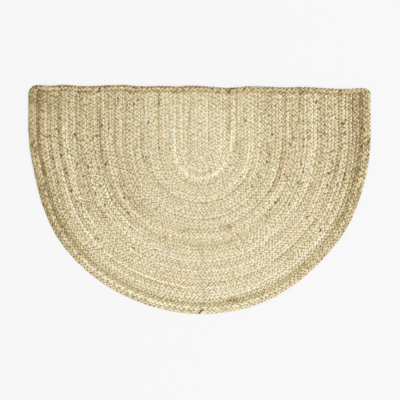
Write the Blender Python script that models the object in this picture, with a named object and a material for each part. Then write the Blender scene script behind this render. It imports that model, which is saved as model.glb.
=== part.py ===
"""Half-round braided jute doormat, 900 mm wide: a flat field of braid rows and the two-row edge sewn round it.

Metres, +Z up, X along the straight edge, +Y towards it, the origin under the middle of the mat's outline.
"""

import math
from typing import NamedTuple

import bmesh
import bpy

MM = 0.001

# Driving sizes
CURVE_CENTRE = (0.0, 0.1418)
CORNER_RADIUS = {"left": 0.024, "right": 0.018}
FIELD_CORNER_RADIUS = 0.004

ROW_COUNT = 46
ROW_CREST = 0.0070
ROW_GROOVE = 0.0048
CORE_X = 0.0040
CORE_END_Y = 0.1240

BAND_WIDTH = 0.0206
BAND_WIDTH_ON_STRAIGHT = 0.0150
BAND_HEIGHT = 0.0078
BAND_HEIGHT_ON_STRAIGHT = 0.0098
SEWN_GAP = 0.0003

# The edge's tucked end swells the band a little at the foot of the curve
TUCK_DEG = 270.6
TUCK_HALF_SPAN_DEG = 2.8
TUCK_OUT = 0.0015
TUCK_UP = 0.0010

# How finely the outline is stepped
CURVE_STEPS = 52
TUCK_STEPS_PER_CURVE_STEP = 4
SIDE_STEPS = 3
CORNER_STEPS = 6
STRAIGHT_STEPS = 84

RIDGE_ANGLE = math.radians(60)
GROOVE_ANGLE = math.radians(30)
JUTE = (0.62, 0.50, 0.31)
EDGE_JUTE = (0.50, 0.39, 0.24)


class EdgePoint(NamedTuple):
    """One place along the straight edge, in millimetres."""

    x: float
    y: float


class CurvePoint(NamedTuple):
    """The outline's distance from CURVE_CENTRE in one direction, measured from +X."""

    deg: float
    radius: float


STRAIGHT_EDGE = (
    EdgePoint(x=-450, y=301.5),
    EdgePoint(x=-424, y=301.5),
    EdgePoint(x=-392, y=299.5),
    EdgePoint(x=-361, y=301.8),
    EdgePoint(x=-303, y=298.5),
    EdgePoint(x=-235, y=300.6),
    EdgePoint(x=-200, y=301.6),
    EdgePoint(x=-150, y=297.8),
    EdgePoint(x=-95, y=299.0),
    EdgePoint(x=-58, y=297.4),
    EdgePoint(x=-24, y=300.0),
    EdgePoint(x=16, y=297.9),
    EdgePoint(x=76, y=293.9),
    EdgePoint(x=134, y=298.2),
    EdgePoint(x=187, y=296.6),
    EdgePoint(x=229, y=295.0),
    EdgePoint(x=271, y=296.1),
    EdgePoint(x=334, y=292.7),
    EdgePoint(x=392, y=291.2),
    EdgePoint(x=430, y=293.8),
    EdgePoint(x=450, y=294.0),
)

CURVE = (
    CurvePoint(deg=174, radius=452),
    CurvePoint(deg=180, radius=446.5),
    CurvePoint(deg=191, radius=439),
    CurvePoint(deg=203, radius=441.5),
    CurvePoint(deg=214, radius=444.5),
    CurvePoint(deg=225, radius=443),
    CurvePoint(deg=248, radius=440.5),
    CurvePoint(deg=270, radius=442.5),
    CurvePoint(deg=292, radius=444.5),
    CurvePoint(deg=304, radius=442),
    CurvePoint(deg=317, radius=440),
    CurvePoint(deg=330, radius=443.5),
    CurvePoint(deg=342, radius=443),
    CurvePoint(deg=354, radius=446),
    CurvePoint(deg=366, radius=452),
)


class BandPoint(NamedTuple):
    """One corner of the band's section: how far in across its width, and how high up its height."""

    across: float
    up: float


# Two rows of braid with a groove between them, on a flat foot
BAND_SECTION = (
    BandPoint(across=0.10, up=0.00),
    BandPoint(across=0.00, up=0.36),
    BandPoint(across=0.08, up=0.76),
    BandPoint(across=0.23, up=1.00),
    BandPoint(across=0.46, up=0.68),
    BandPoint(across=0.73, up=1.00),
    BandPoint(across=0.91, up=0.76),
    BandPoint(across=1.00, up=0.36),
    BandPoint(across=0.90, up=0.00),
)


class Station(NamedTuple):
    """One place round the outline, how much of the straight edge's narrow form it has, and how swollen it is."""

    x: float
    y: float
    narrow: float
    tuck: float


def slope(stops, index):
    """The mean slope of sorted (place, value) stops around one of them."""
    before = stops[max(index - 1, 0)]
    after = stops[min(index + 1, len(stops) - 1)]
    return (after[1] - before[1]) / (after[0] - before[0])


def smooth(at, stops):
    """The value at a place on the smooth curve through sorted (place, value) stops."""
    at = min(max(at, stops[0][0]), stops[-1][0])
    index = next(i for i in range(len(stops) - 1) if at <= stops[i + 1][0])
    (start, from_value), (end, to_value) = stops[index], stops[index + 1]
    span = end - start
    t = (at - start) / span
    rise = to_value - from_value
    leave = slope(stops, index) * span - rise
    arrive = rise - slope(stops, index + 1) * span
    return from_value + t * rise + t * (1 - t) * ((1 - t) * leave + t * arrive)


def straight_edge_y(x):
    """The height of the mat's wavy straight edge at x."""
    return MM * smooth(x / MM, [(p.x, p.y) for p in STRAIGHT_EDGE])


def mix(a, b, part):
    """The point part of the way from a to b."""
    return (a[0] + (b[0] - a[0]) * part, a[1] + (b[1] - a[1]) * part)


def curve_radius(deg):
    """The outline's distance from CURVE_CENTRE in one direction of the curve."""
    return MM * smooth(deg, [(p.deg, p.radius) for p in CURVE])


def tuck_amount(deg):
    """How far the edge is swollen by its tucked end, from 0 to 1."""
    off = abs(deg - TUCK_DEG) / TUCK_HALF_SPAN_DEG
    return 0.0 if off >= 1 else 0.5 + 0.5 * math.cos(math.pi * off)


def curve_degrees(extra_steps):
    """The directions at which the curve is stepped from left to right, closer together at the tucked end."""
    first, last = CURVE[0].deg, CURVE[-1].deg
    step = (last - first) / CURVE_STEPS
    degrees = [first]
    for index in range(CURVE_STEPS):
        start = first + index * step
        near_tuck = extra_steps and abs(start + step / 2 - TUCK_DEG) < TUCK_HALF_SPAN_DEG + step / 2
        parts = TUCK_STEPS_PER_CURVE_STEP if near_tuck else 1
        degrees += [start + step * (part + 1) / parts for part in range(parts)]
    return degrees


def side_x(name):
    """The mat's left or right side, which is straight from the curve up to the corner."""
    end = CURVE[0] if name == "left" else CURVE[-1]
    return CURVE_CENTRE[0] + MM * end.radius * math.cos(math.radians(end.deg))


def curve_stations(inset, extra_steps):
    """The curve from left to right, inset from the mat's outline."""
    stations = []
    for deg in curve_degrees(extra_steps):
        radius = curve_radius(deg) - inset
        angle = math.radians(deg)
        x = CURVE_CENTRE[0] + radius * math.cos(angle)
        y = CURVE_CENTRE[1] + radius * math.sin(angle)
        stations.append(Station(x, y, 0.0, tuck_amount(deg)))
    return stations


def corner_stations(name, inset, top_inset, radius):
    """One rounded corner, stepped from the side round to the straight edge."""
    sign = -1 if name == "left" else 1
    x = side_x(name) - sign * inset
    centre_x = x - sign * radius
    top_y = straight_edge_y(centre_x) - top_inset
    stations = []
    for step in range(CORNER_STEPS + 1):
        turn = step / CORNER_STEPS
        angle = turn * math.pi / 2
        stations.append(
            Station(
                centre_x + sign * radius * math.cos(angle),
                top_y - radius + radius * math.sin(angle),
                turn,
                0.0,
            )
        )
    return stations


def band_outline(inset, top_inset, corner_radii):
    """The whole loop: curve, right side and corner, straight edge, left corner and side."""
    curve = curve_stations(inset, extra_steps=True)
    right = corner_stations("right", inset, top_inset, corner_radii["right"])
    left = corner_stations("left", inset, top_inset, corner_radii["left"])
    loop = list(curve)
    for step in range(1, SIDE_STEPS):
        loop.append(Station(*mix(curve[-1][:2], right[0][:2], step / SIDE_STEPS), 0.0, 0.0))
    loop += right
    for step in range(1, STRAIGHT_STEPS):
        x = right[-1].x + (left[-1].x - right[-1].x) * step / STRAIGHT_STEPS
        loop.append(Station(x, straight_edge_y(x) - top_inset, 1.0, 0.0))
    loop += reversed(left)
    for step in range(1, SIDE_STEPS):
        loop.append(Station(*mix(left[0][:2], curve[0][:2], step / SIDE_STEPS), 0.0, 0.0))
    return loop


def material(name, colour):
    """A dull fibre finish."""
    made = bpy.data.materials.new(name)
    made.use_nodes = True
    shader = made.node_tree.nodes["Principled BSDF"]
    shader.inputs["Base Color"].default_value = (*colour, 1.0)
    shader.inputs["Roughness"].default_value = 0.9
    shader.inputs["Metallic"].default_value = 0.0
    made.diffuse_color = (*colour, 1.0)
    return made


def add_object(name, bm, colour):
    """Turns a finished bmesh into a named object, round over its ridges and creased along its grooves."""
    bmesh.ops.remove_doubles(bm, verts=bm.verts, dist=1e-6)
    bmesh.ops.recalc_face_normals(bm, faces=bm.faces)
    for face in bm.faces:
        face.smooth = True
    for edge in bm.edges:
        edge.smooth = -GROOVE_ANGLE < edge.calc_face_angle_signed(0.0) < RIDGE_ANGLE
    mesh = bpy.data.meshes.new(name)
    bm.to_mesh(mesh)
    bm.free()
    mesh.materials.append(material(name, colour))
    made = bpy.data.objects.new(name, mesh)
    bpy.context.collection.objects.link(made)
    return made


def band_points(outer, inner):
    """The edge's section at one station, from its outer foot over its two rows to its inner foot."""
    height = BAND_HEIGHT + (BAND_HEIGHT_ON_STRAIGHT - BAND_HEIGHT) * outer.narrow
    height += TUCK_UP * outer.tuck
    points = []
    for corner in BAND_SECTION:
        x = outer.x + (inner.x - outer.x) * corner.across
        y = outer.y + (inner.y - outer.y) * corner.across
        y -= TUCK_OUT * outer.tuck * (1 - corner.across)
        points.append((x, y, height * corner.up))
    return points


def build_edge_braid():
    """The two rows of braid that run round the whole mat, as one closed ring."""
    inner_radii = {"left": FIELD_CORNER_RADIUS, "right": FIELD_CORNER_RADIUS}
    outer = band_outline(0.0, 0.0, CORNER_RADIUS)
    inner = band_outline(BAND_WIDTH, BAND_WIDTH_ON_STRAIGHT, inner_radii)
    bm = bmesh.new()
    rings = [[bm.verts.new(p) for p in band_points(o, i)] for o, i in zip(outer, inner)]
    around = len(BAND_SECTION)
    for ring, following in zip(rings, rings[1:] + rings[:1]):
        for k in range(around):
            nxt = (k + 1) % around
            bm.faces.new((ring[k], ring[nxt], following[nxt], following[k]))
    return add_object("edge_braid", bm, EDGE_JUTE)


def field_path():
    """The field's border from the top of its left side, round the curve, to the top of its right side."""
    inset = BAND_WIDTH + SEWN_GAP
    curve = curve_stations(inset, extra_steps=False)
    ends = {}
    for name, sign in (("left", -1), ("right", 1)):
        x = side_x(name) - sign * inset
        corner_y = straight_edge_y(x - sign * FIELD_CORNER_RADIUS)
        ends[name] = (x, corner_y - BAND_WIDTH_ON_STRAIGHT - SEWN_GAP - FIELD_CORNER_RADIUS)
    path = [(station.x, station.y) for station in curve]
    left = [mix(ends["left"], path[0], step / SIDE_STEPS) for step in range(SIDE_STEPS)]
    right = [mix(path[-1], ends["right"], (step + 1) / SIDE_STEPS) for step in range(SIDE_STEPS)]
    return left + path + right


def core_path(count):
    """The straight core that the rows are laid round, with as many points as the border has."""
    top_y = straight_edge_y(CORE_X) - BAND_WIDTH_ON_STRAIGHT - SEWN_GAP
    top = (CORE_X, top_y)
    end = (CORE_X, CORE_END_Y)
    down = [mix(top, end, step / SIDE_STEPS) for step in range(SIDE_STEPS)]
    return down + [end] * (count - 2 * SIDE_STEPS) + down[::-1]


def row_profile():
    """(share of the way from the core to the border, height) across every row, each one raised as a rib."""
    profile = [(0.0, ROW_GROOVE)]
    for row in range(ROW_COUNT):
        profile.append(((row + 0.5) / ROW_COUNT, ROW_CREST))
        profile.append(((row + 1.0) / ROW_COUNT, ROW_GROOVE))
    return profile


def row_end(point, share):
    """Moves the end of a row onto the wavy line along which the rows were cut; the outermost keeps its corner."""
    if share >= 1.0:
        return point
    return (point[0], straight_edge_y(point[0]) - BAND_WIDTH_ON_STRAIGHT - SEWN_GAP)


def build_braided_field():
    """The flat field: nested half-oval rows raised as ribs on a slab with a flat underside."""
    border = field_path()
    core = core_path(len(border))
    bm = bmesh.new()
    lines = []
    for share, height in row_profile():
        points = [mix(c, b, share) for c, b in zip(core, border)]
        points[0] = row_end(points[0], share)
        points[-1] = row_end(points[-1], share)
        lines.append([bm.verts.new((x, y, height)) for x, y in points])
    for line, outer in zip(lines, lines[1:]):
        for k in range(len(line) - 1):
            bm.faces.new((line[k], line[k + 1], outer[k + 1], outer[k]))
    rim = [line[0] for line in lines] + lines[-1][1:] + [line[-1] for line in reversed(lines[1:-1])]
    feet = [bm.verts.new((vert.co.x, vert.co.y, 0.0)) for vert in rim]
    for k, vert in enumerate(rim):
        nxt = (k + 1) % len(rim)
        bm.faces.new((vert, rim[nxt], feet[nxt], feet[k]))
    bm.faces.new(feet)
    return add_object("braided_field", bm, JUTE)


def main():
    for old in list(bpy.data.objects):
        bpy.data.objects.remove(old)
    build_braided_field()
    build_edge_braid()


main()
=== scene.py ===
"""Half-round braided jute doormat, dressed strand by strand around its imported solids.

Metres, +Z up, X along the straight edge, +Y towards it. Every braid is three flat fibre strands that cross
over each other: the field's rows are nested half ovals round a short core, and two more rounds of braid are
sewn on as the edge.
"""

import math
from typing import NamedTuple

import bpy
import numpy as np
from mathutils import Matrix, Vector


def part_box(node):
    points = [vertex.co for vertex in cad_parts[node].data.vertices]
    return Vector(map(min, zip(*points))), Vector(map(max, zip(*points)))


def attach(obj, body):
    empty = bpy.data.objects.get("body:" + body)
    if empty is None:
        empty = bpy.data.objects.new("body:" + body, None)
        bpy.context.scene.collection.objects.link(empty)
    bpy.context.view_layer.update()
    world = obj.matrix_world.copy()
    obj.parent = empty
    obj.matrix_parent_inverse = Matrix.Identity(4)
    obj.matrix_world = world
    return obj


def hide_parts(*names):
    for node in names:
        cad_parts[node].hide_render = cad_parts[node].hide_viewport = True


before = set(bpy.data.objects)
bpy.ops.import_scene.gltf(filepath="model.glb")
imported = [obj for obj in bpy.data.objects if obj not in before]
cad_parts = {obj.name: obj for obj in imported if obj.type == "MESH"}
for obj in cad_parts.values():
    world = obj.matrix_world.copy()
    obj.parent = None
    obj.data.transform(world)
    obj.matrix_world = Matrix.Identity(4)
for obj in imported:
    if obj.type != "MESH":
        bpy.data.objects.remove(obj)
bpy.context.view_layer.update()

bl_info = {
    "name": "Braided Jute Doormat",
    "version": (1, 0, 0),
    "blender": (4, 5, 0),
    "location": "3D View > Sidebar > Doormat",
    "description": "Builds a half-round doormat of sewn jute braid",
    "category": "Object",
}

MM = 0.001
TURN = 2 * math.pi
UP = np.array([0.0, 0.0, 1.0])
FIELD_TOP = float(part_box("braided_field")[1][2])

# The outline, as the solids have it
CURVE_CENTRE = (0.0, 0.1418)
CORE_X = 0.0040
CORE_END_Y = 0.1240
ROW_COUNT = 46
NO_ROW = 0
BAND_WIDTH = 0.0206
BAND_WIDTH_ON_STRAIGHT = 0.0150
SEWN_GAP = 0.0003
ROW_END_UNDER_BAND = 0.0040
TUCK_LAP_DEG = 1.6


class Change(NamedTuple):
    """How much something changes along a braid, and over about what length."""

    amount: float
    length: float


# How unevenly the rows are sewn and their stitches are pulled
FIELD_SEED = 100
CYCLE_SPREAD = 0.05
ROW_WANDER = Change(amount=0.0005, length=0.07)
ROW_WAVE = Change(amount=0.0004, length=0.08)
ROW_SLIMMING = Change(amount=0.06, length=0.05)
SIDE_SLIMMING = 0.10
STITCH_PULL = Change(amount=0.14, length=0.07)

# How a strand lies in its braid: a fold is given in degrees of the strand's cycle
STRAND_SLACK = 0.45
SWING_CHANGE = 0.08
LIFT_CHANGE = 0.12
WIDTH_CHANGE = 0.12
HEIGHT_CHANGE = 0.14
FOLD_OVER = (50, 130)
FOLD_BACK = (230, 310)
SHARPEST_END = 0.02
BUNDLE_SWELL = Change(amount=0.13, length=0.006)
FLUTE = 0.05
PRESSED = 0.0005
STRAND_TWIST = 70.0

# How the edge's rounds narrow along the straight edge, and how each one's last end is tucked down
STRAIGHT_SLIMMING = 0.26
EDGE_THICKENING = 0.04
EDGE_CLEARANCE = 0.0001
TUCK_DEPTH = 0.0020
TUCK_FALL = (-0.014, -0.002)

# Where the jute turns from the foot's look to the top's, and from the quiet middle's to the lively sides'
TAN_RISE = (-0.24, 0.06)
RIM_RISE = (-0.20, 0.02)
LIVELY_OUT = (0.05, 0.25)
LIVELY_UP = (-0.20, 0.05)
QUIET_STRENGTH = 0.50

# How far the jute's tone and hue change from row to row, lane to lane and stitch to stitch
ROW_TONE = 0.36
ROW_SLOW = Change(amount=0.4, length=0.30)
ROW_QUICK = Change(amount=0.2, length=0.06)
ROW_OWN = 0.9
ROW_LEAST = -0.3
ROW_HUE = 0.26
HUE_SLOW = Change(amount=0.7, length=0.20)
HUE_QUICK = Change(amount=0.6, length=0.05)
HUE_OWN = 0.5
LANE_TONE = 0.31
LANE_OFFSET = 0.0024
LANE_BLEND = (-0.2, 0.2)
LANE_OWN = 1.8
LANE_LEAST = -0.55
LANE_SLOW = Change(amount=0.6, length=0.16)
LANE_PATCH = Change(amount=1.6, length=0.025)
LANE_PATCH_FROM = 0.45
RUN_STRENGTH = 0.8
RUN_BREAKS = Change(amount=0.25, length=0.012)
STITCH_TONE = 0.10
STRAND_TONE = 0.12
STRAND_SLOW = Change(amount=0.5, length=0.05)
STRAND_QUICK = Change(amount=1.0, length=0.006)
STRAND_HUE = 0.06
STRAND_HUE_LENGTHS = (0.09, 0.02)
BUNDLE_TONE = Change(amount=0.16, length=0.009)
EDGE_UNEVENNESS = 1.7

# Slivers of dark bark along a strand
FLECK_SPACING = 0.075
FLECK_TONE = 3.6
FLECK_HALF = (0.0012, 0.0034)
FLECK_NEIGHBOUR = 0.7

# How the seams between braids, the strands' flanks and the rows' cut ends are shaded
ROW_CREASE = 0.45
EDGE_CREASE = 0.10
GROOVE = (0.0032, 0.0050)
SNUG_SEAM = 0.4
SEAM = (0.0012, 0.0036)
OPEN_LEVELS = (0.50, 0.90)
FLANK_SHADE = 0.7
PULL_SHADE = Change(amount=0.25, length=0.005)
END_SHADE = 1.0
END_SHARES = (0.3, 1.0)
END_DEPTH = (0.0050, 0.0080)
NEAR_END_SHADE = 0.16
NEAR_END_DEPTH = (0.03, 0.07)

# The fibre's grain, in cycles a metre along and across a strand, and how far along it a strand may start
FIBRE_STARTS = (0, 50)
STRING_GRAIN = (60.0, 1300.0, 1300.0)
BUNDLE_GRAIN = (100.0, 480.0, 480.0)
BARK_GRAIN = (150.0, 480.0, 480.0)

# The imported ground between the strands, and the packing between the edge's rounds
GROUND_END = 1.010
GROUND_SHADE = 0.8
GROUND_EVERY = 4
CORE_HEIGHT = 0.0036
CORE_HALF_WIDTH = 0.0052
CORE_HALF_THICKNESS = 0.0010

# Room left round each strip and its edge in an unrolled map
MAP_EDGE = 0.004
STRIP_EDGE = 0.06

# The stage
FLOOR_HALF = 6.0
FLOOR_DROP = 0.0002
KEY_SIZE = (9.6, 7.2)
KEY_PLACE = (7.5, -3.1, 14.5)
KEY_TURN_DEG = (29.2, 0.0, 67.5)
LENS = 100.0
SENSOR = 36.0
VIEW_MIDDLE = (0.0013, -0.0013)


class EdgePoint(NamedTuple):
    """One place along the straight edge, in millimetres."""

    x: float
    y: float


class CurvePoint(NamedTuple):
    """The outline's distance from CURVE_CENTRE in one direction, measured from +X."""

    deg: float
    radius: float


STRAIGHT_EDGE = (
    EdgePoint(x=-450, y=301.5),
    EdgePoint(x=-424, y=301.5),
    EdgePoint(x=-392, y=299.5),
    EdgePoint(x=-361, y=301.8),
    EdgePoint(x=-303, y=298.5),
    EdgePoint(x=-235, y=300.6),
    EdgePoint(x=-200, y=301.6),
    EdgePoint(x=-150, y=297.8),
    EdgePoint(x=-95, y=299.0),
    EdgePoint(x=-58, y=297.4),
    EdgePoint(x=-24, y=300.0),
    EdgePoint(x=16, y=297.9),
    EdgePoint(x=76, y=293.9),
    EdgePoint(x=134, y=298.2),
    EdgePoint(x=187, y=296.6),
    EdgePoint(x=229, y=295.0),
    EdgePoint(x=271, y=296.1),
    EdgePoint(x=334, y=292.7),
    EdgePoint(x=392, y=291.2),
    EdgePoint(x=430, y=293.8),
    EdgePoint(x=450, y=294.0),
)

CURVE = (
    CurvePoint(deg=174, radius=452),
    CurvePoint(deg=180, radius=446.5),
    CurvePoint(deg=191, radius=439),
    CurvePoint(deg=203, radius=441.5),
    CurvePoint(deg=214, radius=444.5),
    CurvePoint(deg=225, radius=443),
    CurvePoint(deg=248, radius=440.5),
    CurvePoint(deg=270, radius=442.5),
    CurvePoint(deg=292, radius=444.5),
    CurvePoint(deg=304, radius=442),
    CurvePoint(deg=317, radius=440),
    CurvePoint(deg=330, radius=443.5),
    CurvePoint(deg=342, radius=443),
    CurvePoint(deg=354, radius=446),
    CurvePoint(deg=366, radius=452),
)


class BraidSizes(bpy.types.PropertyGroup):
    """The sizes of the field's braid and of the slightly wider inner round of the edge."""

    stitch: bpy.props.FloatProperty(
        name="Stitch",
        description="Length of one stitch along the tighter rows, a third of a strand's full cycle",
        default=0.0090,
        unit="LENGTH",
    )
    long_stitch: bpy.props.FloatProperty(
        name="Long stitch",
        description="Length of one stitch along the looser rows",
        default=0.0098,
        unit="LENGTH",
    )
    edge_stitch: bpy.props.FloatProperty(
        name="Edge stitch",
        description="Length of one stitch along the edge's inner round",
        default=0.0115,
        unit="LENGTH",
    )
    reach: bpy.props.FloatProperty(
        name="Reach",
        description="How far a strand swings out from the middle of a row",
        default=0.0035,
        unit="LENGTH",
    )
    strand_width: bpy.props.FloatProperty(
        name="Strand width",
        description="Breadth of one flat strand in the field's braid",
        default=0.0052,
        unit="LENGTH",
    )
    strand_height: bpy.props.FloatProperty(
        name="Strand height",
        description="Thickness of one flat strand in the field's braid",
        default=0.0032,
        unit="LENGTH",
    )
    edge_growth: bpy.props.FloatProperty(
        name="Edge growth",
        description="How much larger the strands of the edge's inner round are",
        default=1.16,
    )
    steps_per_cycle: bpy.props.IntProperty(
        name="Steps a cycle",
        description="Cross-sections along one full cycle of a strand",
        default=10,
        min=8,
    )
    sides: bpy.props.IntProperty(
        name="Sides",
        description="Sides of each strand's section",
        default=8,
        min=6,
    )


class JuteColours(bpy.types.PropertyGroup):
    """The colours of undyed jute, from freshly pale to weathered."""

    bleached: bpy.props.FloatVectorProperty(
        name="Bleached",
        description="The few whitish rows",
        default=(0.97, 0.93, 0.78),
        subtype="COLOR",
        min=0.0,
        max=1.0,
    )
    pale: bpy.props.FloatVectorProperty(
        name="Pale",
        description="Clean pale fibre at the middle of the mat",
        default=(0.850, 0.772, 0.570),
        subtype="COLOR",
        min=0.0,
        max=1.0,
    )
    tan: bpy.props.FloatVectorProperty(
        name="Tan",
        description="Browner fibre at the sides",
        default=(0.660, 0.533, 0.296),
        subtype="COLOR",
        min=0.0,
        max=1.0,
    )
    umber: bpy.props.FloatVectorProperty(
        name="Umber",
        description="Darkest brown fibre, in the outermost row and the edge braid",
        default=(0.30, 0.22, 0.098),
        subtype="COLOR",
        min=0.0,
        max=1.0,
    )
    # The bark colour serves the real bark flecks and also the painted shade in the crevices
    bark_and_shade: bpy.props.FloatVectorProperty(
        name="Bark_and_shade",
        description="Dark bark flecks and the deepest crevices",
        default=(0.125, 0.079, 0.018),
        subtype="COLOR",
        min=0.0,
        max=1.0,
    )
    rosy: bpy.props.FloatVectorProperty(
        name="Rosy",
        description="Tint of the pinkish runs of fibre",
        default=(1.00, 0.84, 0.76),
        subtype="COLOR",
        min=0.0,
        max=1.0,
    )
    olive: bpy.props.FloatVectorProperty(
        name="Olive",
        description="Tint of the greenish runs of fibre",
        default=(0.90, 0.93, 0.76),
        subtype="COLOR",
        min=0.0,
        max=1.0,
    )


class StageLook(bpy.types.PropertyGroup):
    """The floor and the lights."""

    floor: bpy.props.FloatVectorProperty(
        name="Floor",
        description="Colour of the plain pale floor",
        default=(0.20, 0.20, 0.20),
        subtype="COLOR",
        min=0.0,
        max=1.0,
    )
    ambient: bpy.props.FloatProperty(
        name="Ambient",
        description="Strength of the even light from all round",
        default=0.66,
    )
    table_glow: bpy.props.FloatProperty(
        name="Table glow",
        description="Strength of the light that comes up through the pale table",
        default=0.6785,
    )
    key: bpy.props.FloatProperty(
        name="Key light",
        description="Power of the large soft light on the right",
        default=2100.0,
        unit="POWER",
    )
    view_width: bpy.props.FloatProperty(
        name="View width",
        description="Width of floor that the picture shows",
        default=1.0528,
        unit="LENGTH",
    )


def slope(stops, index):
    """The mean slope of sorted (place, value) stops around one of them."""
    before = stops[max(index - 1, 0)]
    after = stops[min(index + 1, len(stops) - 1)]
    return (after[1] - before[1]) / (after[0] - before[0])


def smooth(at, stops):
    """The value at a place on the smooth curve through sorted (place, value) stops."""
    at = min(max(at, stops[0][0]), stops[-1][0])
    index = next(i for i in range(len(stops) - 1) if at <= stops[i + 1][0])
    (start, from_value), (end, to_value) = stops[index], stops[index + 1]
    span = end - start
    t = (at - start) / span
    rise = to_value - from_value
    leave = slope(stops, index) * span - rise
    arrive = rise - slope(stops, index + 1) * span
    return from_value + t * rise + t * (1 - t) * ((1 - t) * leave + t * arrive)


def straight_edge_y(x):
    """The height of the mat's wavy straight edge at x."""
    return MM * smooth(x / MM, [(p.x, p.y) for p in STRAIGHT_EDGE])


def curve_point(deg, inset):
    """A point of the curve, inset from the mat's outline."""
    radius = MM * smooth(deg, [(p.deg, p.radius) for p in CURVE]) - inset
    angle = math.radians(deg)
    return (CURVE_CENTRE[0] + radius * math.cos(angle), CURVE_CENTRE[1] + radius * math.sin(angle))


def side_x(name):
    """The mat's left or right side, which is straight from the curve up to the corner."""
    return curve_point(CURVE[0].deg if name == "left" else CURVE[-1].deg, 0.0)[0]


def ramp(value, low, high):
    """0 below low, 1 above high, and a soft slope between them."""
    part = np.clip((value - low) / (high - low), 0.0, 1.0)
    return part * part * (3 - 2 * part)


def drift(places, spacing, rng):
    """Smooth random values between -1 and 1 at sorted places, changing over about one spacing."""
    first, last = float(places[0]), float(places[-1])
    count = max(2, math.ceil((last - first) / spacing) + 1)
    knots = rng.uniform(-1, 1, count + 1)
    where = (places - first) / spacing
    index = np.minimum(where.astype(int), count - 1)
    part = where - index
    part = part * part * (3 - 2 * part)
    return knots[index] * (1 - part) + knots[index + 1] * part


def resampled(points, step):
    """A polyline with its points moved to even steps along it, and the distance of each from the start."""
    points = np.asarray(points, float)
    lengths = np.hypot(*np.diff(points, axis=0).T)
    along = np.concatenate([[0.0], np.cumsum(lengths)])
    count = max(2, round(along[-1] / step))
    at = np.linspace(0.0, along[-1], count + 1)
    return np.column_stack([np.interp(at, along, points[:, 0]), np.interp(at, along, points[:, 1])]), at


def softened(points, passes):
    """A polyline with its kinks eased, its two ends kept."""
    points = points.copy()
    for _ in range(passes):
        points[1:-1] = points[:-2] / 4 + points[1:-1] / 2 + points[2:] / 4
    return points


def row_route(share):
    """The middle line of a row, from its cut end at the top left, round the core, to the top right."""
    inset = BAND_WIDTH + SEWN_GAP
    first, last = CURVE[0].deg, CURVE[-1].deg
    arc = [curve_point(deg, inset) for deg in np.linspace(first, last, 161)]
    arc = [(CORE_X + (x - CORE_X) * share, CORE_END_Y + (y - CORE_END_Y) * share) for x, y in arc]
    points = []
    for end, side in ((arc[0], 0), (arc[-1], 1)):
        top = straight_edge_y(end[0]) - BAND_WIDTH_ON_STRAIGHT + ROW_END_UNDER_BAND
        leg = [(end[0], top + (end[1] - top) * part) for part in np.linspace(0, 1, 31)[:-1]]
        points = leg + arc if side == 0 else points + leg[::-1]
    return points


class ToneStop(NamedTuple):
    """How tan the jute is at one distance across the mat, by the straight edge and at the curve's foot."""

    x: float
    upper: float
    lower: float


FIELD_TONES = (
    ToneStop(x=-430, upper=0.62, lower=0.38),
    ToneStop(x=-300, upper=0.54, lower=0.24),
    ToneStop(x=-200, upper=0.42, lower=0.28),
    ToneStop(x=-100, upper=0.28, lower=0.26),
    ToneStop(x=0, upper=0.22, lower=0.26),
    ToneStop(x=100, upper=0.23, lower=0.21),
    ToneStop(x=200, upper=0.27, lower=0.22),
    ToneStop(x=300, upper=0.26, lower=0.23),
    ToneStop(x=430, upper=0.68, lower=0.42),
)

OUTER_ROUND_TONES = (
    ToneStop(x=-450, upper=1.42, lower=1.00),
    ToneStop(x=-250, upper=1.50, lower=0.70),
    ToneStop(x=0, upper=1.45, lower=0.41),
    ToneStop(x=250, upper=1.35, lower=0.32),
    ToneStop(x=450, upper=0.95, lower=0.42),
)

INNER_ROUND_TONES = (
    ToneStop(x=-450, upper=1.05, lower=0.65),
    ToneStop(x=-250, upper=1.30, lower=0.40),
    ToneStop(x=0, upper=1.15, lower=0.40),
    ToneStop(x=250, upper=1.05, lower=0.60),
    ToneStop(x=450, upper=1.15, lower=0.80),
)


def tan_at(points, stops):
    """How tan the jute is at points of the mat."""
    x = points[:, 0] / MM
    places = [stop.x for stop in stops]
    upper = np.interp(x, places, [stop.upper for stop in stops])
    lower = np.interp(x, places, [stop.lower for stop in stops])
    high = ramp(points[:, 1], *TAN_RISE)
    return lower + (upper - lower) * high


def field_strength(points):
    """How much the lanes differ, and how dark the painted shade in the rows' grooves is: little at the middle
    of the mat, where the jute is cleanest.
    """
    lively = ramp(np.abs(points[:, 0]), *LIVELY_OUT) * ramp(points[:, 1], *LIVELY_UP)
    return QUIET_STRENGTH + (1 - QUIET_STRENGTH) * lively


class Round(NamedTuple):
    """The route of one round of the edge: how far in it runs, on the curve and on the straight edge, how
    sharply it turns the corners, and where on the curve its ends meet.
    """

    inset: float
    straight_inset: float
    left_corner: float
    right_corner: float
    join_deg: float


class Stand(NamedTuple):
    """How one round of the edge stands along the straight edge, how it is shaded there, and its jute."""

    tilt: float
    rise: float
    hue: float
    crease: float
    outer_seam: float
    tones: tuple
    seed: int


OUTER_ROUND = Round(
    inset=0.0047, straight_inset=0.0036, left_corner=0.0195, right_corner=0.0135, join_deg=270.6
)
INNER_ROUND = Round(
    inset=0.0149, straight_inset=0.0094, left_corner=0.0120, right_corner=0.0090, join_deg=266.0
)
CORE_ROUND = Round(
    inset=(OUTER_ROUND.inset + INNER_ROUND.inset) / 2,
    straight_inset=(OUTER_ROUND.straight_inset + INNER_ROUND.straight_inset) / 2,
    left_corner=0.0155,
    right_corner=0.0110,
    join_deg=268.0,
)
OUTER_STAND = Stand(
    tilt=math.radians(-78),
    rise=0.0014,
    hue=-0.05,
    crease=0.0,
    outer_seam=0.0,
    tones=OUTER_ROUND_TONES,
    seed=7,
)
INNER_STAND = Stand(
    tilt=math.radians(8),
    rise=0.0008,
    hue=0.05,
    crease=0.35,
    outer_seam=SNUG_SEAM,
    tones=INNER_ROUND_TONES,
    seed=8,
)


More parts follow.
